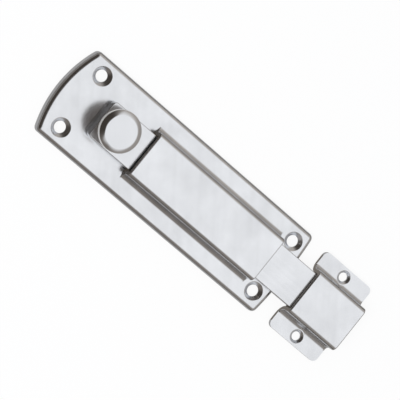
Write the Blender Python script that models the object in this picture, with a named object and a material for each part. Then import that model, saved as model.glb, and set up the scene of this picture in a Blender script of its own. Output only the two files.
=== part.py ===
"""Flat sliding bolt in stainless sheet, with its keeper.

A base plate with a raised bridge is pressed from one sheet. A flat bar slides under the bridge,
moved by a turned knob, and its tip shoots into a keeper that stands in line with the plate.
A bowed leaf spring in the bar's top rubs on the bridge, so the bar stays where it is put, and a
pin in its underside meets the end of the opening under the bridge when the bar is drawn back.

Units are metres and +Z is up. X runs along the bar towards the keeper, Y runs across, and z = 0
is the face of the door. Lengths along X are measured from the plate's arched end.
"""

import math

import bmesh
import bpy

MM = 0.001

# Sheet and fits
SHEET = 1.5 * MM
SLIDE_GAP = 0.25 * MM
SIDE_GAP = 0.3 * MM
SEAT_GAP = 0.25 * MM
STOP_GAP = 0.3 * MM
SHEAR_GAP = 0.2 * MM
UNION_SINK = 0.02 * MM

# Base plate
PLATE_LENGTH = 107.5 * MM
PLATE_WIDTH = 34.0 * MM
PLATE_HEIGHT = 3.3 * MM
ARCH_RADIUS = 43.5 * MM
END_RADIUS = 144.0 * MM
CORNER_RADIUS = 2.0 * MM
RIM_ROUND = 2.0 * MM
RIM_INNER_ROUND = 0.5 * MM

# Bridge pressed up out of the plate, and the keeper's channel of the same section
BRIDGE_START = 36.5 * MM
BRIDGE_END_LAND = 11.6 * MM
BRIDGE_HEIGHT = 6.25 * MM
SHOULDER_ROUND = 2.0 * MM
FOOT_ROUND = 2.4 * MM

# Screw holes in the plate, and the rounded lip that they share with the keeper's
HOLE_LIP_ROUND = 0.8 * MM
HOLE_DIAMETER = 4.2 * MM
HOLE_SINK_DIAMETER = 6.9 * MM
HOLE_SINK_DEPTH = 1.2 * MM
HOLE_FROM_SIDE = 6.0 * MM
HOLE_FROM_ARCH = 9.5 * MM
HOLE_FROM_END = 6.4 * MM

# Bar
BAR_WIDTH = 14.8 * MM
BAR_THICKNESS = 3.5 * MM
BAR_CORNER_RADIUS = 1.5 * MM
BAR_EDGE_ROUND = 0.35 * MM
BAR_BEHIND_KNOB = 5.7 * MM
THROW = 8.5 * MM
WITHDRAW = 17.0 * MM

# Knob, turned in one piece and riveted through the bar
NECK_RADIUS = 4.7 * MM
NECK_FOOT_ROUND = 0.4 * MM
NECK_STANDOFF = 0.6 * MM
COVE_HEIGHT = 1.8 * MM
HEAD_RADIUS = 7.35 * MM
HEAD_THICKNESS = 3.0 * MM
HEAD_EDGE_RUN = 1.55 * MM
HEAD_EDGE_SLOPE_DEG = 30.0
HEAD_RIM_ROUND = 0.2 * MM
HEAD_UNDER_ROUND = 0.8 * MM
SHANK_RADIUS = 2.5 * MM
RIVET_RADIUS = 3.3 * MM
RIVET_DEPTH = 0.8 * MM

# Stop pin in the bar's underside
PIN_RADIUS = 2.0 * MM
PIN_SHANK_RADIUS = 1.4 * MM
PIN_SHANK_LENGTH = 2.0 * MM
PIN_REACH = 2.2 * MM
PIN_CHAMFER = 0.3 * MM

# Leaf spring in a pocket in the bar's top
SPRING_LENGTH = 20.0 * MM
SPRING_WIDTH = 8.0 * MM
SPRING_THICKNESS = 0.4 * MM
POCKET_DEPTH = 0.8 * MM
POCKET_CORNER_RADIUS = 1.0 * MM

# Keeper
KEEPER_GAP = 6.5 * MM
KEEPER_LENGTH = 23.0 * MM
KEEPER_WIDTH = 33.0 * MM
KEEPER_CORNER_RADIUS = 2.0 * MM
KEEPER_HOLE_DIAMETER = 3.3 * MM
KEEPER_SINK_DIAMETER = 5.0 * MM
KEEPER_SINK_DEPTH = 0.9 * MM
KEEPER_HOLE_FROM_SIDE = 3.3 * MM

# Facets of the rounds
BEND_STEPS = 7
ROUND_STEPS = 5
CORNER_STEPS = 6
ARCH_STEPS = 24
END_STEPS = 10
TURNED_STEPS = 56
HOLE_STEPS = 36
LIP_STEPS = 3
SPRING_STEPS = 16

# Where a hole's lip leaves the face, so that cutter and face meet at an angle
LIP_END_DEG = 8.0
LIP_CLEAR = 0.5 * MM

# Levels and places that follow from the sizes above
BAR_BOTTOM = PLATE_HEIGHT + SLIDE_GAP
BAR_TOP = BAR_BOTTOM + BAR_THICKNESS
BRIDGE_TOP = PLATE_HEIGHT + BRIDGE_HEIGHT
BRIDGE_CEILING = BRIDGE_TOP - SHEET
BRIDGE_END = PLATE_LENGTH - BRIDGE_END_LAND
KEEPER_TOP = BAR_TOP + SLIDE_GAP + SHEET
CHANNEL_HALF = BAR_WIDTH / 2 + SIDE_GAP
KNOB_X = BRIDGE_START - STOP_GAP - NECK_RADIUS - THROW
BAR_START = KNOB_X - BAR_BEHIND_KNOB
BAR_LENGTH = PLATE_LENGTH + WITHDRAW - BAR_START
PIN_X = BRIDGE_START + STOP_GAP + PIN_RADIUS + WITHDRAW
SPRING_X = (BRIDGE_START + BRIDGE_END + WITHDRAW - THROW) / 2
KEEPER_START = PLATE_LENGTH + KEEPER_GAP
KEEPER_END = KEEPER_START + KEEPER_LENGTH
ARCH_X = -KEEPER_END / 2

STEEL = (0.62, 0.61, 0.60)
SPRING_STEEL = (0.42, 0.42, 0.43)


def clear_scene():
    for obj in list(bpy.data.objects):
        bpy.data.objects.remove(obj, do_unlink=True)


def arc(cx, cy, radius, start_deg, end_deg, steps):
    """Points on an arc from one angle to the other, both ends included."""
    points = []
    for k in range(steps + 1):
        angle = math.radians(start_deg + (end_deg - start_deg) * k / steps)
        points.append((cx + radius * math.cos(angle), cy + radius * math.sin(angle)))
    return points


def new_object(name, bm, x, z, parent=None):
    """Makes an object of the mesh, with its faces out, at a place on the line along the bar."""
    bmesh.ops.recalc_face_normals(bm, faces=bm.faces)
    mesh = bpy.data.meshes.new(name)
    bm.to_mesh(mesh)
    bm.free()
    obj = bpy.data.objects.new(name, mesh)
    bpy.context.scene.collection.objects.link(obj)
    obj.parent = parent
    shift = parent.location if parent else (0.0, 0.0, 0.0)
    obj.location = (ARCH_X + x - shift[0], -shift[1], z - shift[2])
    return obj


def skin(bm, rings):
    """Joins rings of equal point count one after another, and closes the first and the last."""
    loops = [[bm.verts.new(point) for point in ring] for ring in rings]
    for below, above in zip(loops, loops[1:]):
        for k in range(len(below)):
            n = (k + 1) % len(below)
            bm.faces.new((below[k], below[n], above[n], above[k]))
    bm.faces.new(list(reversed(loops[0])))
    bm.faces.new(loops[-1])


def extrude_outline(outline, low, high):
    """A prism on an outline in XY."""
    bm = bmesh.new()
    skin(bm, [[(x, y, z) for x, y in outline] for z in (low, high)])
    return bm


def extrude_section(section, start, end):
    """A prism along X on a section in YZ."""
    bm = bmesh.new()
    skin(bm, [[(x, y, z) for y, z in section] for x in (start, end)])
    return bm


def add_turned(bm, profile, steps, x=0.0, y=0.0):
    """Adds a body turned about a line along Z, from a profile of radius and height."""
    rings = []
    for radius, z in profile:
        turn = [math.tau * k / steps for k in range(steps)]
        rings.append([(x + radius * math.cos(a), y + radius * math.sin(a), z) for a in turn])
    skin(bm, rings)


def rounded_rectangle(x0, x1, half_width, radius):
    """An outline in XY with four equal round corners."""
    low = radius - half_width
    points = arc(x0 + radius, low, radius, 180, 270, CORNER_STEPS)
    points += arc(x1 - radius, low, radius, 270, 360, CORNER_STEPS)
    points += arc(x1 - radius, -low, radius, 0, 90, CORNER_STEPS)
    points += arc(x0 + radius, -low, radius, 90, 180, CORNER_STEPS)
    return points


def apply_boolean(obj, tool, operation):
    """Joins or cuts the object with the tool, and removes the tool."""
    modifier = obj.modifiers.new(operation.lower(), "BOOLEAN")
    modifier.operation = operation
    modifier.object = tool
    bpy.context.view_layer.update()
    depsgraph = bpy.context.evaluated_depsgraph_get()
    result = bpy.data.meshes.new_from_object(obj.evaluated_get(depsgraph))
    obj.modifiers.clear()
    obj.data = result
    bpy.data.objects.remove(tool, do_unlink=True)


def finish(obj, material):
    """Gives the object its material, and smooth shading up to its real edges."""
    obj.data.name = obj.name
    obj.data.materials.clear()
    obj.data.materials.append(material)
    obj.data.shade_smooth()
    obj.data.set_sharp_from_angle(angle=math.radians(32))
    return obj


def metal(name, color, roughness):
    material = bpy.data.materials.new(name)
    material.use_nodes = True
    shader = material.node_tree.nodes["Principled BSDF"]
    shader.inputs["Base Color"].default_value = (*color, 1.0)
    shader.inputs["Metallic"].default_value = 1.0
    shader.inputs["Roughness"].default_value = roughness
    return material


def plate_outline(inset):
    """The plate's outline, drawn in by an inset: an arched end and a nearly straight one."""
    half = PLATE_WIDTH / 2 - inset
    arch = ARCH_RADIUS - inset
    end = END_RADIUS - inset
    corner = max(CORNER_RADIUS - inset, 0.1 * MM)
    corner_y = half - corner
    arch_dx = math.sqrt((arch - corner) ** 2 - corner_y ** 2)
    end_dx = math.sqrt((end - corner) ** 2 - corner_y ** 2)
    arch_angle = math.degrees(math.atan2(corner_y, arch_dx))
    end_angle = math.degrees(math.atan2(corner_y, end_dx))
    arch_corner_x = ARCH_RADIUS - arch_dx
    end_corner_x = PLATE_LENGTH - END_RADIUS + end_dx
    points = arc(ARCH_RADIUS, 0, arch, 180 - arch_angle, 180 + arch_angle, ARCH_STEPS)
    points += arc(arch_corner_x, -corner_y, corner, 180 + arch_angle, 270, CORNER_STEPS)[1:]
    points += arc(end_corner_x, -corner_y, corner, 270, 360 - end_angle, CORNER_STEPS)
    points += arc(PLATE_LENGTH - END_RADIUS, 0, end, -end_angle, end_angle, END_STEPS)[1:]
    points += arc(end_corner_x, corner_y, corner, end_angle, 90, CORNER_STEPS)[1:]
    points += arc(arch_corner_x, corner_y, corner, 90, 180 - arch_angle, CORNER_STEPS)[:-1]
    return points


def plate_tray():
    """The plate as a tray of sheet, mouth down, with its rounded edge all the way round."""
    under = PLATE_HEIGHT - SHEET
    steps = [(SHEET + RIM_INNER_ROUND - x, under - RIM_INNER_ROUND + z)
             for x, z in arc(0, 0, RIM_INNER_ROUND, 90, 0, ROUND_STEPS)]
    steps += [(SHEET, 0.0), (0.0, 0.0)]
    steps += [(RIM_ROUND + x, PLATE_HEIGHT - RIM_ROUND + z)
              for x, z in arc(0, 0, RIM_ROUND, 180, 90, BEND_STEPS)]
    bm = bmesh.new()
    skin(bm, [[(x, y, z) for x, y in plate_outline(inset)] for inset, z in steps])
    return bm


def channel_half_section(foot_z, top, gauge):
    """One side of the channel's section, from its foot on the sheet's face to its flat top.

    The gauge is 0 for the outer face and one sheet for the inner face, which shares its centres
    with the outer one, so that the sheet keeps its thickness round each bend.
    """
    wall = CHANNEL_HALF + SHEET
    foot = [(wall + FOOT_ROUND + y, foot_z + FOOT_ROUND + z)
            for y, z in arc(0, 0, FOOT_ROUND + gauge, 270, 180, BEND_STEPS)]
    round_in = max(SHOULDER_ROUND - gauge, 0.2 * MM)
    shoulder = [(wall - gauge - round_in + y, top - gauge - round_in + z)
                for y, z in arc(0, 0, round_in, 0, 90, BEND_STEPS)]
    return foot + shoulder


def mirrored(half):
    """A whole section from its right half, listed from the right foot over to the left foot."""
    return half + [(-y, z) for y, z in reversed(half)]


def tunnel_section(foot_z, top, floor):
    """The section of the space inside a channel, closed along a floor below the sheet."""
    inside = channel_half_section(foot_z - UNION_SINK, top + UNION_SINK, SHEET)
    half = [(inside[0][0], floor)] + inside
    return mirrored(half)


def sink_profile(diameter, sink_diameter, sink_depth, face_z):
    """A countersunk hole with a rounded lip as a cutter, from below the sheet to above its face."""
    cone_deg = math.degrees(math.atan2(sink_depth, (sink_diameter - diameter) / 2))
    lip_radius = sink_diameter / 2 + HOLE_LIP_ROUND * math.tan(math.radians(cone_deg / 2))
    lip = arc(lip_radius, face_z - HOLE_LIP_ROUND, HOLE_LIP_ROUND, 90 + cone_deg, 90 + LIP_END_DEG,
              LIP_STEPS)
    return [
        (diameter / 2, face_z - 2 * SHEET),
        (diameter / 2, face_z - sink_depth),
        *lip,
        (lip_radius, face_z + LIP_CLEAR),
    ]


def make_base_plate(material):
    plate = new_object("base_plate", plate_tray(), 0, 0)

    block = mirrored(channel_half_section(PLATE_HEIGHT - UNION_SINK, BRIDGE_TOP, 0))
    core = PLATE_HEIGHT - SHEET / 2
    block = [(block[0][0], core)] + block + [(block[-1][0], core)]
    bridge = new_object("bridge", extrude_section(block, BRIDGE_START, BRIDGE_END), 0, 0)
    apply_boolean(plate, bridge, "UNION")

    space = tunnel_section(PLATE_HEIGHT, BRIDGE_TOP, -SHEET)
    tunnel = extrude_section(space, BRIDGE_START - SHEAR_GAP, BRIDGE_END + SHEAR_GAP)
    apply_boolean(plate, new_object("tunnel", tunnel, 0, 0), "DIFFERENCE")

    holes = bmesh.new()
    profile = sink_profile(HOLE_DIAMETER, HOLE_SINK_DIAMETER, HOLE_SINK_DEPTH, PLATE_HEIGHT)
    for x in (HOLE_FROM_ARCH, PLATE_LENGTH - HOLE_FROM_END):
        for side in (-1, 1):
            add_turned(holes, profile, HOLE_STEPS, x, side * (PLATE_WIDTH / 2 - HOLE_FROM_SIDE))
    apply_boolean(plate, new_object("plate_holes", holes, 0, 0), "DIFFERENCE")
    return finish(plate, material)


def make_keeper(material):
    """The keeper is a length of hat section, with round flange corners and two screw holes."""
    half = KEEPER_WIDTH / 2
    outside = mirrored([(half, SHEET)] + channel_half_section(SHEET, KEEPER_TOP, 0))
    inside = mirrored([(half, 0.0)] + channel_half_section(SHEET, KEEPER_TOP, SHEET))
    bm = extrude_section(outside + inside[::-1], 0, KEEPER_LENGTH)
    corners = [e for e in bm.edges
               if all(abs(abs(v.co.y) - half) < UNION_SINK for v in e.verts)
               and abs(e.verts[0].co.x - e.verts[1].co.x) < UNION_SINK]
    bmesh.ops.bevel(bm, geom=corners, offset=KEEPER_CORNER_RADIUS, segments=CORNER_STEPS,
                    profile=0.5, affect="EDGES")
    keeper = new_object("keeper", bm, KEEPER_START, 0)

    holes = bmesh.new()
    profile = sink_profile(KEEPER_HOLE_DIAMETER, KEEPER_SINK_DIAMETER, KEEPER_SINK_DEPTH, SHEET)
    for side in (-1, 1):
        add_turned(holes, profile, HOLE_STEPS, KEEPER_LENGTH / 2, side * (half - KEEPER_HOLE_FROM_SIDE))
    apply_boolean(keeper, new_object("keeper_holes", holes, KEEPER_START, 0), "DIFFERENCE")
    return finish(keeper, material)


def make_bar(carriage, material):
    """The bar, drilled and countersunk for the knob and the pin, with a pocket for the spring."""
    outline = rounded_rectangle(0, BAR_LENGTH, BAR_WIDTH / 2, BAR_CORNER_RADIUS)
    bm = extrude_outline(outline, 0, BAR_THICKNESS)
    rim = [e for e in bm.edges if abs(e.verts[0].co.z - e.verts[1].co.z) < UNION_SINK]
    bmesh.ops.bevel(bm, geom=rim, offset=BAR_EDGE_ROUND, segments=2, profile=0.5,
                    affect="EDGES")
    bar = new_object("sliding_bar", bm, BAR_START, BAR_BOTTOM, carriage)

    past = 1.0 * MM
    rivet_hole = bmesh.new()
    slope = (RIVET_RADIUS - SHANK_RADIUS) / RIVET_DEPTH
    hole = SHANK_RADIUS + SEAT_GAP
    add_turned(rivet_hole, [
        (hole + slope * (RIVET_DEPTH + past), -past),
        (hole, RIVET_DEPTH),
        (hole, BAR_THICKNESS + past),
    ], HOLE_STEPS)
    cutter = new_object("rivet_hole", rivet_hole, KNOB_X, BAR_BOTTOM, carriage)
    apply_boolean(bar, cutter, "DIFFERENCE")

    pin_hole = bmesh.new()
    hole = PIN_SHANK_RADIUS + SEAT_GAP
    add_turned(pin_hole, [(hole, -past), (hole, PIN_SHANK_LENGTH + SEAT_GAP)], HOLE_STEPS)
    cutter = new_object("pin_hole", pin_hole, PIN_X, BAR_BOTTOM, carriage)
    apply_boolean(bar, cutter, "DIFFERENCE")

    reach = SPRING_LENGTH / 2 + SIDE_GAP
    outline = rounded_rectangle(-reach, reach, SPRING_WIDTH / 2 + SIDE_GAP, POCKET_CORNER_RADIUS)
    pocket = extrude_outline(outline, -POCKET_DEPTH, past)
    cutter = new_object("pocket", pocket, SPRING_X, BAR_TOP, carriage)
    apply_boolean(bar, cutter, "DIFFERENCE")
    return finish(bar, material)


def make_knob(carriage, material):
    """The knob: flat round head, cove, neck, and a shank whose end is spread into the bar."""
    cove_start = BRIDGE_TOP + NECK_STANDOFF - BAR_TOP
    head_low = cove_start + COVE_HEIGHT
    head_top = head_low + HEAD_THICKNESS
    cove_run = HEAD_RADIUS - HEAD_UNDER_ROUND - NECK_RADIUS
    profile = [
        (RIVET_RADIUS, -BAR_THICKNESS),
        (SHANK_RADIUS, -BAR_THICKNESS + RIVET_DEPTH),
        (SHANK_RADIUS, SEAT_GAP),
    ]
    profile += [(NECK_RADIUS - NECK_FOOT_ROUND + x, SEAT_GAP + NECK_FOOT_ROUND + z)
                for x, z in arc(0, 0, NECK_FOOT_ROUND, 270, 360, ROUND_STEPS)]
    profile += [(NECK_RADIUS + cove_run * (1 - x), cove_start + COVE_HEIGHT * z)
                for x, z in arc(0, 0, 1, 0, 90, BEND_STEPS)]
    profile += [(HEAD_RADIUS - HEAD_UNDER_ROUND + x, head_low + HEAD_UNDER_ROUND + z)
                for x, z in arc(0, 0, HEAD_UNDER_ROUND, 270, 360, ROUND_STEPS)][1:]
    slope = math.radians(HEAD_EDGE_SLOPE_DEG)
    sloped_run = HEAD_EDGE_RUN - HEAD_RIM_ROUND * (1 - math.sin(slope))
    rim_z = head_top - sloped_run * math.tan(slope) - HEAD_RIM_ROUND * math.cos(slope)
    profile += [(HEAD_RADIUS - HEAD_RIM_ROUND + x, rim_z + z)
                for x, z in arc(0, 0, HEAD_RIM_ROUND, 0, 90 - HEAD_EDGE_SLOPE_DEG, ROUND_STEPS)]
    profile += [(HEAD_RADIUS - HEAD_EDGE_RUN, head_top)]
    bm = bmesh.new()
    add_turned(bm, profile, TURNED_STEPS)
    return finish(new_object("knob", bm, KNOB_X, BAR_TOP, carriage), material)


def make_stop_pin(carriage, material):
    """The pin: its shank goes up into the bar, its head hangs in the opening of the plate."""
    low = -SEAT_GAP - PIN_REACH
    bm = bmesh.new()
    add_turned(bm, [
        (PIN_RADIUS - PIN_CHAMFER, low),
        (PIN_RADIUS, low + PIN_CHAMFER),
        (PIN_RADIUS, -SEAT_GAP),
        (PIN_SHANK_RADIUS, -SEAT_GAP),
        (PIN_SHANK_RADIUS, PIN_SHANK_LENGTH),
    ], HOLE_STEPS)
    return finish(new_object("stop_pin", bm, PIN_X, BAR_BOTTOM, carriage), material)


def make_leaf_spring(carriage, material):
    """The spring: a strip bowed along X, its ends on the pocket's floor, its crest by the bridge."""
    floor = SEAT_GAP - POCKET_DEPTH
    crest = BRIDGE_CEILING - BAR_TOP - SEAT_GAP
    bow = crest - floor - SPRING_THICKNESS
    chord = SPRING_LENGTH / 2
    radius = (chord ** 2 + bow ** 2) / (2 * bow)
    half_angle = math.degrees(math.asin(chord / radius))
    centre_z = crest - SPRING_THICKNESS - radius
    lower = arc(0, centre_z, radius, 90 + half_angle, 90 - half_angle, SPRING_STEPS)
    upper = arc(0, centre_z, radius + SPRING_THICKNESS, 90 - half_angle, 90 + half_angle,
                SPRING_STEPS)
    side = SPRING_WIDTH / 2
    bm = bmesh.new()
    skin(bm, [[(x, y, z) for x, z in lower + upper] for y in (-side, side)])
    return finish(new_object("leaf_spring", bm, SPRING_X, BAR_TOP, carriage), material)


def make_carriage():
    """An empty on the line that the bar slides along, which carries all that moves with it."""
    carriage = bpy.data.objects.new("bolt_slide", None)
    carriage.location = (ARCH_X + BAR_START, 0, BAR_BOTTOM + BAR_THICKNESS / 2)
    bpy.context.scene.collection.objects.link(carriage)
    return carriage


def main():
    clear_scene()
    plate_steel = metal("plate_steel", STEEL, 0.18)
    bar_steel = metal("bar_steel", STEEL, 0.22)
    knob_steel = metal("knob_steel", STEEL, 0.15)
    spring_steel = metal("spring_steel", SPRING_STEEL, 0.35)
    make_base_plate(plate_steel)
    make_keeper(plate_steel)
    carriage = make_carriage()
    make_bar(carriage, bar_steel)
    make_knob(carriage, knob_steel)
    make_stop_pin(carriage, knob_steel)
    make_leaf_spring(carriage, spring_steel)


main()
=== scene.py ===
# Studio scene of a flat sliding bolt in stainless sheet, with its keeper.
import math

import bmesh
import bpy
from mathutils import Matrix, Vector


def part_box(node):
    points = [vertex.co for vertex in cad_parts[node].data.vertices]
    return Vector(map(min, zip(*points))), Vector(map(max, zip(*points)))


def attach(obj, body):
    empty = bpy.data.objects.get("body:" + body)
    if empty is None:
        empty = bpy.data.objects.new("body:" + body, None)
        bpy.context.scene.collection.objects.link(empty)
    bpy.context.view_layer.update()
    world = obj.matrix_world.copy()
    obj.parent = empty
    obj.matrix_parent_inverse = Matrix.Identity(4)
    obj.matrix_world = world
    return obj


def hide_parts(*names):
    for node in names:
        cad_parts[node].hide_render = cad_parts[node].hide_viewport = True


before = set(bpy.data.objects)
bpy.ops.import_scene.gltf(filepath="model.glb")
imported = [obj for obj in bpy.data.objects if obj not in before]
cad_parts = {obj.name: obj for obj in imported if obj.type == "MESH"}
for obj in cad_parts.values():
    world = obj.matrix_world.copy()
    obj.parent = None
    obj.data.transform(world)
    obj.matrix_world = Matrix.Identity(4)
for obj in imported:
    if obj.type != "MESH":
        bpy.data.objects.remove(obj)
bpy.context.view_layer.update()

MM = 0.001

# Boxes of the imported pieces
PLATE_LOW, PLATE_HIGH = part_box("base_plate")
KEEPER_LOW, KEEPER_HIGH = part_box("keeper")
BAR_LOW, BAR_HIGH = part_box("sliding_bar")
KNOB_LOW, KNOB_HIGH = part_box("knob")
PIN_LOW, PIN_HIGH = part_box("stop_pin")
SPRING_LOW, SPRING_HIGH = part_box("leaf_spring")

# Sheet, gaps and bends
SHEET = 1.5 * MM
SIDE_GAP = 0.3 * MM
SHEAR_GAP = 0.2 * MM
UNION_SINK = 0.006 * MM
SHOULDER_ROUND = 2.0 * MM
FOOT_ROUND = 2.4 * MM
LEAST_BEND = 0.2 * MM

# Sheared ends: their round, and how near and how square to the end a face of them lies to take the dark
# cut finish, which is partly painted shade
SHEARED_ROUND = 0.5 * MM
SHEARED_SHADE_REACH = 0.3 * MM
SHEARED_SHADE_FACING = 0.8

# Base plate
PLATE_HEIGHT = 3.3 * MM
ARCH_RADIUS = 43.5 * MM
END_RADIUS = 144.0 * MM
CORNER_RADIUS = 2.0 * MM
LEAST_CORNER = 0.1 * MM
RIM_ROUND = 2.0 * MM
RIM_INNER_ROUND = 0.5 * MM
BRIDGE_FROM_ARCH = 36.5 * MM
BRIDGE_END_LAND = 11.6 * MM
HOLE_LIP_ROUND = 0.8 * MM
HOLE_DIAMETER = 4.2 * MM
HOLE_SINK_DIAMETER = 6.9 * MM
HOLE_SINK_DEPTH = 1.2 * MM
HOLE_FROM_SIDE = 6.0 * MM
HOLE_FROM_ARCH = 9.5 * MM
HOLE_FROM_END = 6.4 * MM

# Bar
BAR_CORNER_RADIUS = 1.5 * MM
BAR_EDGE_ROUND = 0.35 * MM
PIN_SHANK_RADIUS = 1.4 * MM
POCKET_DEPTH = 0.8 * MM
POCKET_CORNER_RADIUS = 1.0 * MM
CUT_PAST = 1.0 * MM

# Knob
NECK_RADIUS = 4.7 * MM
NECK_FOOT_ROUND = 0.4 * MM
NECK_STANDOFF = 0.6 * MM
COVE_HEIGHT = 1.8 * MM
HEAD_EDGE_RUN = 1.55 * MM
HEAD_EDGE_SLOPE_DEG = 30.0
HEAD_RIM_ROUND = 0.2 * MM
HEAD_UNDER_ROUND = 0.3 * MM
FACE_CROWN = 0.06 * MM
CROWN_RINGS = (0.85, 0.65, 0.4, 0.15, 0.02)
SHANK_RADIUS = 2.5 * MM
RIVET_RADIUS = 3.3 * MM
RIVET_DEPTH = 0.8 * MM
SEAT_GAP = 0.25 * MM

# Keeper
KEEPER_CORNER_RADIUS = 2.0 * MM
KEEPER_HOLE_DIAMETER = 3.3 * MM
KEEPER_SINK_DIAMETER = 5.0 * MM
KEEPER_SINK_DEPTH = 0.9 * MM
KEEPER_HOLE_FROM_SIDE = 3.3 * MM

# How finely the rounds are cut, and from which angle on an edge is shaded sharp
BEND_STEPS = 14
CORNER_STEPS = 14
EDGE_STEPS = 6
ARCH_STEPS = 96
END_STEPS = 40
HOLE_STEPS = 96
LIP_STEPS = 8
TURNED_STEPS = 160
SURROUND_STEPS = 48
SHARP_DEG = 38.0

# Where a hole's lip leaves the face, so that cutter and face meet at an angle
LIP_END_DEG = 4.0
LIP_CLEAR = 0.5 * MM

# Places that follow
ARCH_X = PLATE_LOW.x
PLATE_END = PLATE_HIGH.x
PLATE_HALF_WIDTH = PLATE_HIGH.y
BRIDGE_TOP = PLATE_HIGH.z
BRIDGE_START = ARCH_X + BRIDGE_FROM_ARCH
BRIDGE_END = PLATE_END - BRIDGE_END_LAND
CHANNEL_HALF = BAR_HIGH.y + SIDE_GAP
KNOB_X = (KNOB_LOW.x + KNOB_HIGH.x) / 2
HEAD_RADIUS = KNOB_HIGH.y

# Camera, from a fit to points measured in the photograph
CAMERA_TARGET = Vector((-2.85, 1.1, 0.0)) * MM
CAMERA_SIDE = Vector((-0.3650, -0.0747, 0.9280))
CAMERA_DISTANCE = 887.0 * MM
CAMERA_ROLL_DEG = 40.63
FOCAL_PIXELS = 2598.0
PICTURE_PIXELS = 400
SENSOR_MM = 36.0
CLIP_NEAR = 0.01
CLIP_FAR = 20.0

# Steel as the eye sees it, and how far its polish varies its tint, its gloss and its surface
POLISHED = (0.755, 0.770, 0.800)
# The knob's satin rim, lighter than the polished steel as painted light
RIM_PAINTED_LIGHT = (0.84, 0.83, 0.81)
# The turned steel under the knob's head, darker as painted shade under the head
TURNED_PAINTED_SHADE = (0.50, 0.46, 0.43)
# The cut ends' steel, darker partly as painted shade of the shadowed gap in the channels' mouths
SHEARED_AND_SHADED = (0.34, 0.31, 0.28)
SPRING_STEEL = (0.42, 0.42, 0.43)
TINT_SPREAD = 0.1
GLOSS_SPREAD = 0.1
RELIEF_STRENGTH = 0.05
RELIEF_DEPTH = 0.02 * MM

# Shades of the studio
DARK_GREY = (0.055, 0.046, 0.038)
MID_GREY = (0.13, 0.115, 0.10)
# The floor's contact shadow round the set, painted as the steel mirrors it
CONTACT_SHADOW_GREY = (0.42, 0.41, 0.40)
FLOOR_GREY = (0.85, 0.85, 0.86)
SOFT_LIGHT = (0.97, 0.98, 1.0)
WHITE = (1.0, 1.0, 1.0)

# The surround on each side: its shade low down, and the degrees of height of its fade to white
LOOK_BEHIND = (DARK_GREY, 66.0, 84.0)
LOOK_FAR = ((0.48, 0.44, 0.40), 28.0, 56.0)
LOOK_NEAR = ((0.205, 0.18, 0.16), 42.0, 66.0)
LOOK_AHEAD = ((0.36, 0.33, 0.30), 26.0, 48.0)

# The grey behind the set that lifts the dark close to the floor, and the degrees of its fade
BEHIND_LOW_GREY = (0.34, 0.32, 0.30)
BEHIND_LOW_FROM_DEG = 4.0
BEHIND_LOW_TO_DEG = 20.0

# How one side's look gives way to the next: the far side by the heading's Y, the ends by its X
FAR_FADE = (-0.7, 0.7)
BEHIND_FADE = (-0.15, -0.85)
AHEAD_FADE = (0.15, 0.85)

# The studio's places, reaches and strengths
SURROUND_RADIUS = 0.5
FLOOR_REACH = 3.0
FLOOR_WHITE_SHARE = 0.9
FLOOR_Z = -0.05 * MM
MAT_WIDE_Z = -0.035 * MM
MAT_Z = -0.02 * MM
SHADE_Z = -0.01 * MM
MAT_REACH = 6.0 * MM
MAT_WIDE_REACH = 0.45
SOFT_STRENGTH = 0.75
LAMP_PLACE = Vector((-0.30, -0.25, 0.60))
LAMP_SIZE = 0.35
LAMP_WATTS = 2.2


def arc(cx, cy, radius, start_deg, end_deg, steps):
    """Points on an arc from one angle to the other, both ends included."""
    points = []
    for k in range(steps + 1):
        angle = math.radians(start_deg + (end_deg - start_deg) * k / steps)
        points.append((cx + radius * math.cos(angle), cy + radius * math.sin(angle)))
    return points


def skin(bm, rings):
    """Joins rings of equal point count one after another, and closes the first and the last."""
    loops = [[bm.verts.new(point) for point in ring] for ring in rings]
    for below, above in zip(loops, loops[1:]):
        for k in range(len(below)):
            n = (k + 1) % len(below)
            bm.faces.new((below[k], below[n], above[n], above[k]))
    bm.faces.new(list(reversed(loops[0])))
    bm.faces.new(loops[-1])


def rounded_ends(start, end, radius):
    """Places along a prism, with the inset at each that makes a quarter round at both ends."""
    near = []
    for k in range(EDGE_STEPS + 1):
        turn = math.radians(90 - 90 * k / EDGE_STEPS)
        near.append((start + radius * (1 - math.sin(turn)), radius * (1 - math.cos(turn))))
    return near + [(start + end - place, inset) for place, inset in reversed(near)]


def extrude_outline(outline, low, high):
    """A prism along Z on an outline in XY."""
    bm = bmesh.new()
    skin(bm, [[(x, y, z) for x, y in outline] for z in (low, high)])
    return bm


def extrude_section(section, start, end):
    """A prism along X on a section in YZ."""
    bm = bmesh.new()
    skin(bm, [[(x, y, z) for y, z in section] for x in (start, end)])
    return bm


def extrude_rounded(section_at, start, end, radius):
    """A prism along X with rounded ends, on a section in YZ that is drawn in by an inset."""
    bm = bmesh.new()
    skin(bm, [[(x, y, z) for y, z in section_at(inset)]
              for x, inset in rounded_ends(start, end, radius)])
    return bm


def add_turned(bm, profile, steps, x, y):
    """Adds a body turned about a line along Z, from a profile of radius and height."""
    turn = [math.tau * k / steps for k in range(steps)]
    skin(bm, [[(x + r * math.cos(a), y + r * math.sin(a), z) for a in turn] for r, z in profile])


def new_object(name, bm):
    """Makes an object of the mesh, with its faces out."""
    bmesh.ops.recalc_face_normals(bm, faces=bm.faces)
    mesh = bpy.data.meshes.new(name)
    bm.to_mesh(mesh)
    bm.free()
    obj = bpy.data.objects.new(name, mesh)
    bpy.context.scene.collection.objects.link(obj)
    return obj


def apply_boolean(obj, tool, operation):
    """Joins, cuts or trims the object with the tool, and removes the tool."""
    modifier = obj.modifiers.new(operation.lower(), "BOOLEAN")
    modifier.operation = operation
    modifier.object = tool
    bpy.context.view_layer.update()
    depsgraph = bpy.context.evaluated_depsgraph_get()
    result = bpy.data.meshes.new_from_object(obj.evaluated_get(depsgraph))
    obj.modifiers.clear()
    obj.data = result
    result.name = obj.name
    bpy.data.objects.remove(tool, do_unlink=True)


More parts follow.
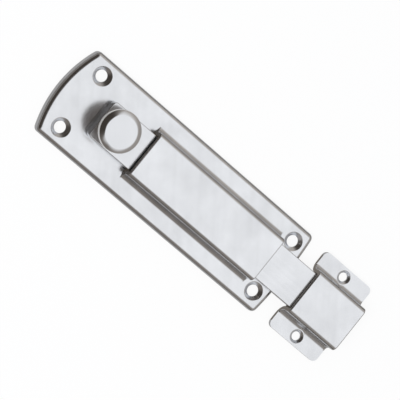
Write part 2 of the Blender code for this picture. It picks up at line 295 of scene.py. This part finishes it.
def dress(obj, materials, body, node):
    """Gives the piece its materials, shades its bends smooth, and sets it on its body."""
    for material in materials:
        obj.data.materials.append(material)
    obj.data.shade_smooth()
    obj.data.set_sharp_from_angle(angle=math.radians(SHARP_DEG))
    weighted = obj.modifiers.new("normals", "WEIGHTED_NORMAL")
    weighted.weight = 100
    weighted.keep_sharp = True
    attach(obj, body)
    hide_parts(node)
    return obj


def rounded_rectangle(low, high, radius, inset):
    """An outline in XY between two corners of a box, with round corners, drawn in by an inset."""
    x0, x1 = low.x + radius, high.x - radius
    y0, y1 = low.y + radius, high.y - radius
    points = arc(x0, y0, radius - inset, 180, 270, CORNER_STEPS)
    points += arc(x1, y0, radius - inset, 270, 360, CORNER_STEPS)
    points += arc(x1, y1, radius - inset, 0, 90, CORNER_STEPS)
    points += arc(x0, y1, radius - inset, 90, 180, CORNER_STEPS)
    return points


def plate_outline(inset):
    """The plate's outline, drawn in by an inset: an arched end and a nearly straight one."""
    half = PLATE_HALF_WIDTH - inset
    arch = ARCH_RADIUS - inset
    end = END_RADIUS - inset
    corner = max(CORNER_RADIUS - inset, LEAST_CORNER)
    corner_y = half - corner
    arch_dx = math.sqrt((arch - corner) ** 2 - corner_y ** 2)
    end_dx = math.sqrt((end - corner) ** 2 - corner_y ** 2)
    arch_angle = math.degrees(math.atan2(corner_y, arch_dx))
    end_angle = math.degrees(math.atan2(corner_y, end_dx))
    arch_x = ARCH_X + ARCH_RADIUS
    end_x = PLATE_END - END_RADIUS
    points = arc(arch_x, 0, arch, 180 - arch_angle, 180 + arch_angle, ARCH_STEPS)
    points += arc(arch_x - arch_dx, -corner_y, corner, 180 + arch_angle, 270, CORNER_STEPS)[1:]
    points += arc(end_x + end_dx, -corner_y, corner, 270, 360 - end_angle, CORNER_STEPS)
    points += arc(end_x, 0, end, -end_angle, end_angle, END_STEPS)[1:]
    points += arc(end_x + end_dx, corner_y, corner, end_angle, 90, CORNER_STEPS)[1:]
    points += arc(arch_x - arch_dx, corner_y, corner, 90, 180 - arch_angle, CORNER_STEPS)[:-1]
    return points


def plate_tray():
    """The plate as a tray of sheet, mouth down, with its rounded edge all the way round."""
    under = PLATE_HEIGHT - SHEET
    steps = [(SHEET + RIM_INNER_ROUND - x, under - RIM_INNER_ROUND + z)
             for x, z in arc(0, 0, RIM_INNER_ROUND, 90, 0, CORNER_STEPS)]
    steps += [(SHEET, 0.0), (0.0, 0.0)]
    steps += [(RIM_ROUND + x, PLATE_HEIGHT - RIM_ROUND + z)
              for x, z in arc(0, 0, RIM_ROUND, 180, 90, BEND_STEPS)]
    bm = bmesh.new()
    skin(bm, [[(x, y, z) for x, y in plate_outline(inset)] for inset, z in steps])
    return bm


def channel_half_section(foot_z, top, gauge):
    """One side of the channel's section, from its foot on the sheet's face to its flat top.

    The gauge says how far inside the outer face the section lies, one sheet for the inner face.
    """
    wall = CHANNEL_HALF + SHEET
    foot = [(wall + FOOT_ROUND + y, foot_z + FOOT_ROUND + z)
            for y, z in arc(0, 0, FOOT_ROUND + gauge, 270, 180, BEND_STEPS)]
    round_in = max(SHOULDER_ROUND - gauge, LEAST_BEND)
    shoulder = [(wall - gauge - round_in + y, top - gauge - round_in + z)
                for y, z in arc(0, 0, round_in, 0, 90, BEND_STEPS)]
    return foot + shoulder


def mirrored(half):
    """A whole section from its right half, listed from the right foot over to the left foot."""
    return half + [(-y, z) for y, z in reversed(half)]


def sink_profile(diameter, sink_diameter, sink_depth, face_z):
    """A countersunk hole with a rounded lip as a cutter, from below the sheet to above its face."""
    cone_deg = math.degrees(math.atan2(sink_depth, (sink_diameter - diameter) / 2))
    lip_radius = sink_diameter / 2 + HOLE_LIP_ROUND * math.tan(math.radians(cone_deg / 2))
    lip = arc(lip_radius, face_z - HOLE_LIP_ROUND, HOLE_LIP_ROUND, 90 + cone_deg, 90 + LIP_END_DEG,
              LIP_STEPS)
    return [
        (diameter / 2, face_z - 2 * SHEET),
        (diameter / 2, face_z - sink_depth),
        *lip,
        (lip_radius, face_z + LIP_CLEAR),
    ]


def mark_sheared_and_shaded(obj, planes):
    """Gives the channel's ends, which were sheared across the sheet, the second material, a dark cut
    finish that is partly painted shade of the channel's mouth.
    """
    for face in obj.data.polygons:
        on_plane = any(abs(face.center.x - x) < SHEARED_SHADE_REACH for x in planes)
        # Only the ends within the channel take the painted shade of its mouth; the flanges' cut ends
        # stay polished
        in_channel = abs(face.center.y) < CHANNEL_HALF + SHEET + FOOT_ROUND
        if on_plane and in_channel and abs(face.normal.x) > SHEARED_SHADE_FACING:
            face.material_index = 1


def bridge_section(inset):
    """The bridge's outer section, closed level with the underside of the plate's sheet."""
    outer = mirrored(channel_half_section(PLATE_HEIGHT - UNION_SINK, BRIDGE_TOP, inset))
    under = PLATE_HEIGHT - SHEET
    return [(outer[0][0], under)] + outer + [(outer[-1][0], under)]


def make_base_plate(materials):
    """The plate: a tray of sheet, the bridge raised from it and hollow below, and four holes."""
    plate = new_object("plate_shell", plate_tray())
    block = extrude_rounded(bridge_section, BRIDGE_START, BRIDGE_END, SHEARED_ROUND)
    apply_boolean(plate, new_object("bridge", block), "UNION")

    inside = channel_half_section(PLATE_HEIGHT - UNION_SINK, BRIDGE_TOP, SHEET)
    space = mirrored([(inside[0][0], -SHEET)] + inside)
    tunnel = extrude_section(space, BRIDGE_START - SHEAR_GAP, BRIDGE_END + SHEAR_GAP)
    apply_boolean(plate, new_object("tunnel", tunnel), "DIFFERENCE")

    holes = bmesh.new()
    profile = sink_profile(HOLE_DIAMETER, HOLE_SINK_DIAMETER, HOLE_SINK_DEPTH, PLATE_HEIGHT)
    for x in (ARCH_X + HOLE_FROM_ARCH, PLATE_END - HOLE_FROM_END):
        for side in (-1, 1):
            add_turned(holes, profile, HOLE_STEPS, x, side * (PLATE_HALF_WIDTH - HOLE_FROM_SIDE))
    apply_boolean(plate, new_object("plate_holes", holes), "DIFFERENCE")
    mark_sheared_and_shaded(plate, (BRIDGE_START, BRIDGE_END))
    return dress(plate, materials, "fixings", "base_plate")


def keeper_section(inset):
    """The keeper's hat section, the outer face of its channel drawn in by an inset."""
    half = KEEPER_HIGH.y
    outside = [(half, SHEET)]
    outside += [(y, max(z, SHEET)) for y, z in channel_half_section(SHEET, KEEPER_HIGH.z, inset)]
    inside = [(half, 0.0)] + channel_half_section(SHEET, KEEPER_HIGH.z, SHEET)
    return mirrored(outside) + mirrored(inside)[::-1]


def make_keeper(materials):
    """The keeper: a length of hat section, with round flange corners and two holes."""
    half = KEEPER_HIGH.y
    bm = extrude_rounded(keeper_section, KEEPER_LOW.x, KEEPER_HIGH.x, SHEARED_ROUND)
    keeper = new_object("keeper_shell", bm)
    outline = rounded_rectangle(KEEPER_LOW, KEEPER_HIGH, KEEPER_CORNER_RADIUS, 0.0)
    blank = extrude_outline(outline, -SHEET, KEEPER_HIGH.z + SHEET)
    apply_boolean(keeper, new_object("keeper_blank", blank), "INTERSECT")

    holes = bmesh.new()
    profile = sink_profile(KEEPER_HOLE_DIAMETER, KEEPER_SINK_DIAMETER, KEEPER_SINK_DEPTH, SHEET)
    middle = (KEEPER_LOW.x + KEEPER_HIGH.x) / 2
    for side in (-1, 1):
        add_turned(holes, profile, HOLE_STEPS, middle, side * (half - KEEPER_HOLE_FROM_SIDE))
    apply_boolean(keeper, new_object("keeper_holes", holes), "DIFFERENCE")
    mark_sheared_and_shaded(keeper, (KEEPER_LOW.x, KEEPER_HIGH.x))
    return dress(keeper, materials, "fixings", "keeper")


def make_bar(materials):
    """The bar, drilled for the knob and the stop pin, with a pocket for the spring."""
    bm = bmesh.new()
    skin(bm, [[(x, y, z) for x, y in rounded_rectangle(BAR_LOW, BAR_HIGH, BAR_CORNER_RADIUS, inset)]
              for z, inset in rounded_ends(BAR_LOW.z, BAR_HIGH.z, BAR_EDGE_ROUND)])
    bar = new_object("bar", bm)
    hole = SHANK_RADIUS + SEAT_GAP
    slope = (RIVET_RADIUS - SHANK_RADIUS) / RIVET_DEPTH
    rivet_hole = bmesh.new()
    add_turned(rivet_hole, [
        (hole + slope * (RIVET_DEPTH + CUT_PAST), BAR_LOW.z - CUT_PAST),
        (hole, BAR_LOW.z + RIVET_DEPTH),
        (hole, BAR_HIGH.z + CUT_PAST),
    ], HOLE_STEPS, KNOB_X, 0)
    apply_boolean(bar, new_object("rivet_hole", rivet_hole), "DIFFERENCE")

    hole = PIN_SHANK_RADIUS + SEAT_GAP
    pin_hole = bmesh.new()
    add_turned(pin_hole, [
        (hole, BAR_LOW.z - CUT_PAST),
        (hole, PIN_HIGH.z + SEAT_GAP),
    ], HOLE_STEPS, (PIN_LOW.x + PIN_HIGH.x) / 2, 0)
    apply_boolean(bar, new_object("pin_hole", pin_hole), "DIFFERENCE")

    around = Vector((SIDE_GAP, SIDE_GAP, 0.0))
    outline = rounded_rectangle(SPRING_LOW - around, SPRING_HIGH + around, POCKET_CORNER_RADIUS, 0.0)
    pocket = extrude_outline(outline, BAR_HIGH.z - POCKET_DEPTH, BAR_HIGH.z + CUT_PAST)
    apply_boolean(bar, new_object("pocket", pocket), "DIFFERENCE")
    return dress(bar, materials, "bolt", "sliding_bar")


def knob_profile():
    """Radius and height up the knob: spread shank, neck, cove and flat round head."""
    cove_start = BRIDGE_TOP + NECK_STANDOFF
    head_low = cove_start + COVE_HEIGHT
    head_top = KNOB_HIGH.z - FACE_CROWN
    cove_run = HEAD_RADIUS - HEAD_UNDER_ROUND - NECK_RADIUS
    neck_low = BAR_HIGH.z + SEAT_GAP
    profile = [
        (RIVET_RADIUS, KNOB_LOW.z),
        (SHANK_RADIUS, KNOB_LOW.z + RIVET_DEPTH),
        (SHANK_RADIUS, neck_low),
    ]
    profile += [(NECK_RADIUS - NECK_FOOT_ROUND + x, neck_low + NECK_FOOT_ROUND + z)
                for x, z in arc(0, 0, NECK_FOOT_ROUND, 270, 360, CORNER_STEPS)]
    profile += [(NECK_RADIUS + cove_run * (1 - x), cove_start + COVE_HEIGHT * z)
                for x, z in arc(0, 0, 1, 0, 90, BEND_STEPS)]
    profile += [(HEAD_RADIUS - HEAD_UNDER_ROUND + x, head_low + HEAD_UNDER_ROUND + z)
                for x, z in arc(0, 0, HEAD_UNDER_ROUND, 270, 360, CORNER_STEPS)][1:]
    slope = math.radians(HEAD_EDGE_SLOPE_DEG)
    sloped_run = HEAD_EDGE_RUN - HEAD_RIM_ROUND * (1 - math.sin(slope))
    rim_z = head_top - sloped_run * math.tan(slope) - HEAD_RIM_ROUND * math.cos(slope)
    profile += [(HEAD_RADIUS - HEAD_RIM_ROUND + x, rim_z + z)
                for x, z in arc(0, 0, HEAD_RIM_ROUND, 0, 90 - HEAD_EDGE_SLOPE_DEG, BEND_STEPS)]
    face = HEAD_RADIUS - HEAD_EDGE_RUN
    profile += [(face, head_top)]
    profile += [(face * share, head_top + FACE_CROWN * (1 - share ** 2))
                for share in CROWN_RINGS]
    return profile


def make_knob(materials):
    """The knob: its face and sloped edge are polished, its rim is satin with a lighter tone as painted
    light, and the rest as turned, darker as painted shade under the head.
    """
    bm = bmesh.new()
    add_turned(bm, knob_profile(), TURNED_STEPS, KNOB_X, 0)
    knob = new_object("knob_turned", bm)
    slope_drop = HEAD_EDGE_RUN * math.tan(math.radians(HEAD_EDGE_SLOPE_DEG))
    rim_high = KNOB_HIGH.z - FACE_CROWN - slope_drop
    rim_low = BRIDGE_TOP + NECK_STANDOFF + COVE_HEIGHT + HEAD_UNDER_ROUND
    # Faces below the head take the turned steel with painted shade, and the rim up to the slope the
    # satin steel with painted light
    for face in knob.data.polygons:
        if face.center.z < rim_low:
            face.material_index = 2
        elif face.center.z < rim_high:
            face.material_index = 1
    return dress(knob, materials, "bolt", "knob")


class Graph:
    """A node tree with short calls for adding and joining nodes."""

    def __init__(self, tree):
        self.tree = tree

    def node(self, kind, **values):
        made = self.tree.nodes.new(kind)
        for key, value in values.items():
            setattr(made, key, value)
        return made

    def join(self, out, into):
        self.tree.links.new(out, into)

    def math(self, operation, a, b=None):
        made = self.node("ShaderNodeMath", operation=operation)
        self.give(made.inputs[0], a)
        if b is not None:
            self.give(made.inputs[1], b)
        return made.outputs[0]

    def give(self, socket, value):
        """Sets a socket to a number or a colour, or joins an output to it."""
        if isinstance(value, (int, float)):
            socket.default_value = value
        elif isinstance(value, tuple):
            socket.default_value = (*value, 1.0) if len(socket.default_value) == 4 else value
        else:
            self.join(value, socket)

    def vector(self, operation, a, b=None):
        made = self.node("ShaderNodeVectorMath", operation=operation)
        self.give(made.inputs[0], a)
        if b is not None:
            self.give(made.inputs[1], b)
        return made.outputs[0]

    def fade(self, value, start, end):
        """0 at the start and 1 at the end, with a soft run between."""
        made = self.node("ShaderNodeMapRange", interpolation_type="SMOOTHSTEP")
        self.give(made.inputs["Value"], value)
        self.give(made.inputs["From Min"], start)
        self.give(made.inputs["From Max"], end)
        return made.outputs["Result"]

    def mix(self, share, a, b):
        """From a to b by the share, as colours where one of them is a colour and else as numbers."""
        is_number = isinstance(b, (int, float))
        made = self.node("ShaderNodeMix", data_type="FLOAT" if is_number else "RGBA")
        self.give(made.inputs["Factor"], share)
        self.give(made.inputs["A"], a)
        self.give(made.inputs["B"], b)
        return made.outputs["Result"]


def group_tree(name, inputs):
    """An empty node group with number inputs that have defaults, and one output called Shade."""
    tree = bpy.data.node_groups.new(name, "ShaderNodeTree")
    for label, value in inputs.items():
        socket = tree.interface.new_socket(label, in_out="INPUT", socket_type="NodeSocketFloat")
        socket.default_value = value
    tree.interface.new_socket("Shade", in_out="OUTPUT", socket_type="NodeSocketFloat")
    graph = Graph(tree)
    return graph, graph.node("NodeGroupInput"), graph.node("NodeGroupOutput")


def make_cloud_group():
    """Soft clouds of a hand polished sheet, as a number about 0."""
    graph, given, result = group_tree("polish clouds", {"Scale": 90.0})
    place = graph.node("ShaderNodeTexCoord")
    noise = graph.node("ShaderNodeTexNoise")
    noise.inputs["Detail"].default_value = 4.0
    noise.inputs["Roughness"].default_value = 0.55
    graph.join(place.outputs["Object"], noise.inputs["Vector"])
    graph.join(given.outputs["Scale"], noise.inputs["Scale"])
    graph.join(graph.math("SUBTRACT", noise.outputs["Fac"], 0.5), result.inputs["Shade"])
    return graph.tree


def make_streak_group():
    """Faint polishing streaks that run across the sheet at an angle, as a number about 0."""
    inputs = {"Angle": 0.9, "Fine": 260.0, "Coarse": 14.0}
    graph, given, result = group_tree("polish streaks", inputs)
    place = graph.node("ShaderNodeTexCoord")
    turned = graph.node("ShaderNodeVectorRotate", rotation_type="Z_AXIS")
    graph.join(place.outputs["Object"], turned.inputs["Vector"])
    graph.join(given.outputs["Angle"], turned.inputs["Angle"])
    scale = graph.node("ShaderNodeCombineXYZ")
    graph.join(given.outputs["Coarse"], scale.inputs["X"])
    graph.join(given.outputs["Fine"], scale.inputs["Y"])
    graph.join(given.outputs["Coarse"], scale.inputs["Z"])
    stretched = graph.vector("MULTIPLY", turned.outputs["Vector"], scale.outputs["Vector"])
    noise = graph.node("ShaderNodeTexNoise")
    noise.inputs["Scale"].default_value = 1.0
    noise.inputs["Detail"].default_value = 3.0
    graph.join(stretched, noise.inputs["Vector"])
    graph.join(graph.math("SUBTRACT", noise.outputs["Fac"], 0.5), result.inputs["Shade"])
    return graph.tree


def steel(name, color, roughness, groups, clouds=0.10, streaks=0.06, angle=0.9, fine=260.0,
          metallic=1.0):
    """Stainless steel: clouds and streaks vary its brightness, its gloss and its surface."""
    material = bpy.data.materials.new(name)
    material.use_nodes = True
    graph = Graph(material.node_tree)
    shader = material.node_tree.nodes["Principled BSDF"]
    shader.inputs["Metallic"].default_value = metallic
    cloud = graph.node("ShaderNodeGroup", node_tree=groups["clouds"])
    streak = graph.node("ShaderNodeGroup", node_tree=groups["streaks"])
    streak.inputs["Angle"].default_value = angle
    streak.inputs["Fine"].default_value = fine
    shade = graph.math("ADD", graph.math("MULTIPLY", cloud.outputs["Shade"], clouds),
                       graph.math("MULTIPLY", streak.outputs["Shade"], streaks))
    tint = graph.node("ShaderNodeMix", data_type="RGBA")
    tint.inputs["A"].default_value = (*[c * (1 - TINT_SPREAD) for c in color], 1.0)
    tint.inputs["B"].default_value = (*[min(c * (1 + TINT_SPREAD), 1.0) for c in color], 1.0)
    graph.join(graph.math("ADD", shade, 0.5), tint.inputs["Factor"])
    graph.join(tint.outputs["Result"], shader.inputs["Base Color"])
    rough = graph.math("MULTIPLY", cloud.outputs["Shade"], GLOSS_SPREAD)
    graph.join(graph.math("ADD", rough, roughness), shader.inputs["Roughness"])
    relief = graph.node("ShaderNodeBump")
    relief.inputs["Strength"].default_value = RELIEF_STRENGTH
    relief.inputs["Distance"].default_value = RELIEF_DEPTH
    graph.join(streak.outputs["Shade"], relief.inputs["Height"])
    graph.join(relief.outputs["Normal"], shader.inputs["Normal"])
    return material


def make_steels():
    """The finishes of the set, each by the name of what wears it."""
    groups = {"clouds": make_cloud_group(), "streaks": make_streak_group()}
    return {
        "plate": steel("polished_plate", POLISHED, 0.20, groups, clouds=1.7, streaks=0.7),
        "bar": steel("satin_bar", POLISHED, 0.20, groups, clouds=1.4, streaks=0.5, angle=0.0,
                     fine=900.0),
        "knob": steel("polished_knob", POLISHED, 0.12, groups, clouds=0.6, streaks=0.2),
        # The rim's satin steel is lightened as painted light, and the turned steel below it is darkened
        # as painted shade
        "rim": steel("satin_rim_painted_light", RIM_PAINTED_LIGHT, 0.42, groups, clouds=0.6, streaks=0.6, fine=1500.0,
                     metallic=0.5),
        "turned": steel("turned_knob_painted_shade", TURNED_PAINTED_SHADE, 0.42, groups, clouds=0.6, streaks=0.6, fine=1500.0,
                        metallic=0.6),
        # The cut ends' finish, darkened partly as painted shade in the channels' mouths
        "sheared": steel("sheared_edge_painted_shade", SHEARED_AND_SHADED, 0.28, groups, clouds=0.6, streaks=0.5,
                         fine=2500.0),
        "spring": steel("spring_strip", SPRING_STEEL, 0.35, groups),
    }


def plain_emission(name, color):
    """A surface that shows one colour whatever light falls on it."""
    material = bpy.data.materials.new(name)
    material.use_nodes = True
    graph = Graph(material.node_tree)
    material.node_tree.nodes.remove(material.node_tree.nodes["Principled BSDF"])
    light = graph.node("ShaderNodeEmission")
    light.inputs["Color"].default_value = (*color, 1.0)
    graph.join(light.outputs[0], material.node_tree.nodes["Material Output"].inputs["Surface"])
    return material


def background_rays(graph):
    """1 for the rays that see the background: camera, glossy and transmission rays."""
    path = graph.node("ShaderNodeLightPath")
    seen = graph.math("MAXIMUM", path.outputs["Is Camera Ray"], path.outputs["Is Glossy Ray"])
    return graph.math("MAXIMUM", seen, path.outputs["Is Transmission Ray"])


def make_floor():
    """A pale floor that shows white and keeps a faint shadow."""
    bm = bmesh.new()
    bmesh.ops.create_grid(bm, x_segments=1, y_segments=1, size=FLOOR_REACH)
    floor = new_object("floor", bm)
    floor.location.z = FLOOR_Z
    material = bpy.data.materials.new("pale_floor")
    material.use_nodes = True
    graph = Graph(material.node_tree)
    shader = material.node_tree.nodes["Principled BSDF"]
    shader.inputs["Base Color"].default_value = (*FLOOR_GREY, 1.0)
    shader.inputs["Roughness"].default_value = 0.9
    white = graph.node("ShaderNodeEmission")
    mix = graph.node("ShaderNodeMixShader")
    graph.join(graph.math("MULTIPLY", background_rays(graph), FLOOR_WHITE_SHARE), mix.inputs[0])
    graph.join(shader.outputs[0], mix.inputs[1])
    graph.join(white.outputs[0], mix.inputs[2])
    graph.join(mix.outputs[0], material.node_tree.nodes["Material Output"].inputs["Surface"])
    floor.data.materials.append(material)


def only_in_reflections(obj):
    """A part of the studio: it shows in the metal, and neither the camera nor the light meets it."""
    obj.visible_camera = False
    obj.visible_diffuse = False
    obj.visible_shadow = False
    obj.visible_transmission = False
    obj.visible_volume_scatter = False


def sine(degrees):
    """The share of a direction that points up, at a height in degrees."""
    return math.sin(math.radians(degrees))


def surround_material():
    """The surround's own light: a grey that changes round the set, and fades to white above it.

    A look's shade and its two heights are blended one by one from side to side.
    """
    material = plain_emission("surround", DARK_GREY)
    graph = Graph(material.node_tree)
    place = graph.node("ShaderNodeTexCoord")
    direction = graph.vector("NORMALIZE", place.outputs["Object"])
    level = graph.vector("MULTIPLY", direction, (1.0, 1.0, 0.0))
    heading = graph.node("ShaderNodeSeparateXYZ")
    graph.join(graph.vector("NORMALIZE", level), heading.inputs[0])
    height = graph.node("ShaderNodeSeparateXYZ")
    graph.join(direction, height.inputs[0])

    far = graph.fade(heading.outputs["Y"], *FAR_FADE)
    behind = graph.fade(heading.outputs["X"], *BEHIND_FADE)
    ahead = graph.fade(heading.outputs["X"], *AHEAD_FADE)
    raised = graph.fade(height.outputs["Z"], sine(BEHIND_LOW_FROM_DEG), sine(BEHIND_LOW_TO_DEG))
    shade_behind, *fade_behind = LOOK_BEHIND
    look_behind = (graph.mix(raised, BEHIND_LOW_GREY, shade_behind), *fade_behind)
    looks = [(shade, sine(start), sine(end))
             for shade, start, end in (LOOK_NEAR, LOOK_FAR, look_behind, LOOK_AHEAD)]
    blended = []
    for near_part, far_part, behind_part, ahead_part in zip(*looks):
        sides = graph.mix(far, near_part, far_part)
        blended.append(graph.mix(ahead, graph.mix(behind, sides, behind_part), ahead_part))
    shade, fade_from, fade_to = blended
    light = graph.mix(graph.fade(height.outputs["Z"], fade_from, fade_to), shade, WHITE)
    graph.join(light, material.node_tree.nodes["Emission"].inputs["Color"])
    return material


def make_surround():
    """A dome round the set, which the bends of the steel mirror."""
    bm = bmesh.new()
    bmesh.ops.create_uvsphere(bm, u_segments=SURROUND_STEPS, v_segments=SURROUND_STEPS // 2,
                              radius=SURROUND_RADIUS)
    below = [vertex for vertex in bm.verts if vertex.co.z < FLOOR_Z]
    bmesh.ops.delete(bm, geom=below, context="VERTS")
    dome = new_object("surround", bm)
    dome.data.materials.append(surround_material())
    only_in_reflections(dome)


def make_mat(name, reach_x, half_y, z, shade):
    """A flat rectangle on the floor, of one shade."""
    bm = bmesh.new()
    x0, x1 = reach_x
    edge = [(x0, -half_y), (x1, -half_y), (x1, half_y), (x0, half_y)]
    bm.faces.new([bm.verts.new((x, y, z)) for x, y in edge])
    mat = new_object(name, bm)
    mat.data.materials.append(plain_emission(name, shade))
    return mat


def make_mats():
    """The floor as the steel mirrors it: grey close to the set as a painted contact shadow, and darker
    further away.
    """
    around = MAT_REACH - ARCH_X
    # The painted contact shadow that the steel mirrors close to the set
    near = make_mat("mat_near_painted_shadow", (-around, around), PLATE_HALF_WIDTH + MAT_REACH, MAT_Z, CONTACT_SHADOW_GREY)
    wide = make_mat("mat_wide", (-MAT_WIDE_REACH, MAT_WIDE_REACH), MAT_WIDE_REACH, MAT_WIDE_Z, MID_GREY)
    for mat in (near, wide):
        only_in_reflections(mat)


def make_shade_under_channels():
    """The floor under the bridge and under the keeper's channel, which no light reaches."""
    half = CHANNEL_HALF + SHEET + FOOT_ROUND
    for name, reach_x in (("shade_bridge", (BRIDGE_START, BRIDGE_END)),
                          ("shade_keeper", (KEEPER_LOW.x + SHEET, KEEPER_HIGH.x - SHEET))):
        make_mat(name, reach_x, half, SHADE_Z, DARK_GREY)


def make_world():
    """White where it is seen, and an even soft light everywhere else."""
    world = bpy.data.worlds.new("studio")
    bpy.context.scene.world = world
    world.use_nodes = True
    graph = Graph(world.node_tree)
    soft = world.node_tree.nodes["Background"]
    soft.inputs["Color"].default_value = (*SOFT_LIGHT, 1.0)
    soft.inputs["Strength"].default_value = SOFT_STRENGTH
    white = graph.node("ShaderNodeBackground")
    white.inputs["Color"].default_value = (*WHITE, 1.0)
    mix = graph.node("ShaderNodeMixShader")
    graph.join(background_rays(graph), mix.inputs[0])
    graph.join(soft.outputs[0], mix.inputs[1])
    graph.join(white.outputs[0], mix.inputs[2])
    graph.join(mix.outputs[0], world.node_tree.nodes["World Output"].inputs["Surface"])


def make_lamp():
    """One soft lamp high on the arched side."""
    data = bpy.data.lights.new("soft_lamp", "AREA")
    data.shape = "DISK"
    data.size = LAMP_SIZE
    data.energy = LAMP_WATTS
    lamp = bpy.data.objects.new("soft_lamp", data)
    lamp.location = LAMP_PLACE
    lamp.visible_glossy = False
    lamp.rotation_euler = (-LAMP_PLACE).to_track_quat("-Z", "Y").to_euler()
    bpy.context.scene.collection.objects.link(lamp)


def make_camera():
    """The photograph's view: over the arched end, rolled so that the bar runs down to the right."""
    back = CAMERA_SIDE.normalized()
    along = (Vector((1, 0, 0)) - back * back.x).normalized()
    across = back.cross(along)
    roll = math.radians(CAMERA_ROLL_DEG)
    right = along * math.cos(roll) + across * math.sin(roll)
    up = across * math.cos(roll) - along * math.sin(roll)
    data = bpy.data.cameras.new("camera")
    data.sensor_width = SENSOR_MM
    data.lens = SENSOR_MM * FOCAL_PIXELS / PICTURE_PIXELS
    data.clip_start = CLIP_NEAR
    data.clip_end = CLIP_FAR
    camera = bpy.data.objects.new("camera", data)
    axes = Matrix((right, up, back)).transposed().to_4x4()
    camera.matrix_world = Matrix.Translation(CAMERA_TARGET + back * CAMERA_DISTANCE) @ axes
    bpy.context.scene.collection.objects.link(camera)
    bpy.context.scene.camera = camera


def main():
    bpy.context.scene.view_settings.view_transform = "Standard"
    make_camera()
    make_world()
    make_floor()
    make_surround()
    make_mats()
    make_shade_under_channels()
    make_lamp()

    steels = make_steels()
    # Each piece's second material is the cut ends' finish with its painted shade
    make_base_plate([steels["plate"], steels["sheared"]])
    make_keeper([steels["plate"], steels["sheared"]])
    make_bar([steels["bar"]])
    make_knob([steels["knob"], steels["rim"], steels["turned"]])
    for node, material in (("stop_pin", steels["knob"]), ("leaf_spring", steels["spring"])):
        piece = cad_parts[node]
        piece.data.materials.clear()
        piece.data.materials.append(material)


main()
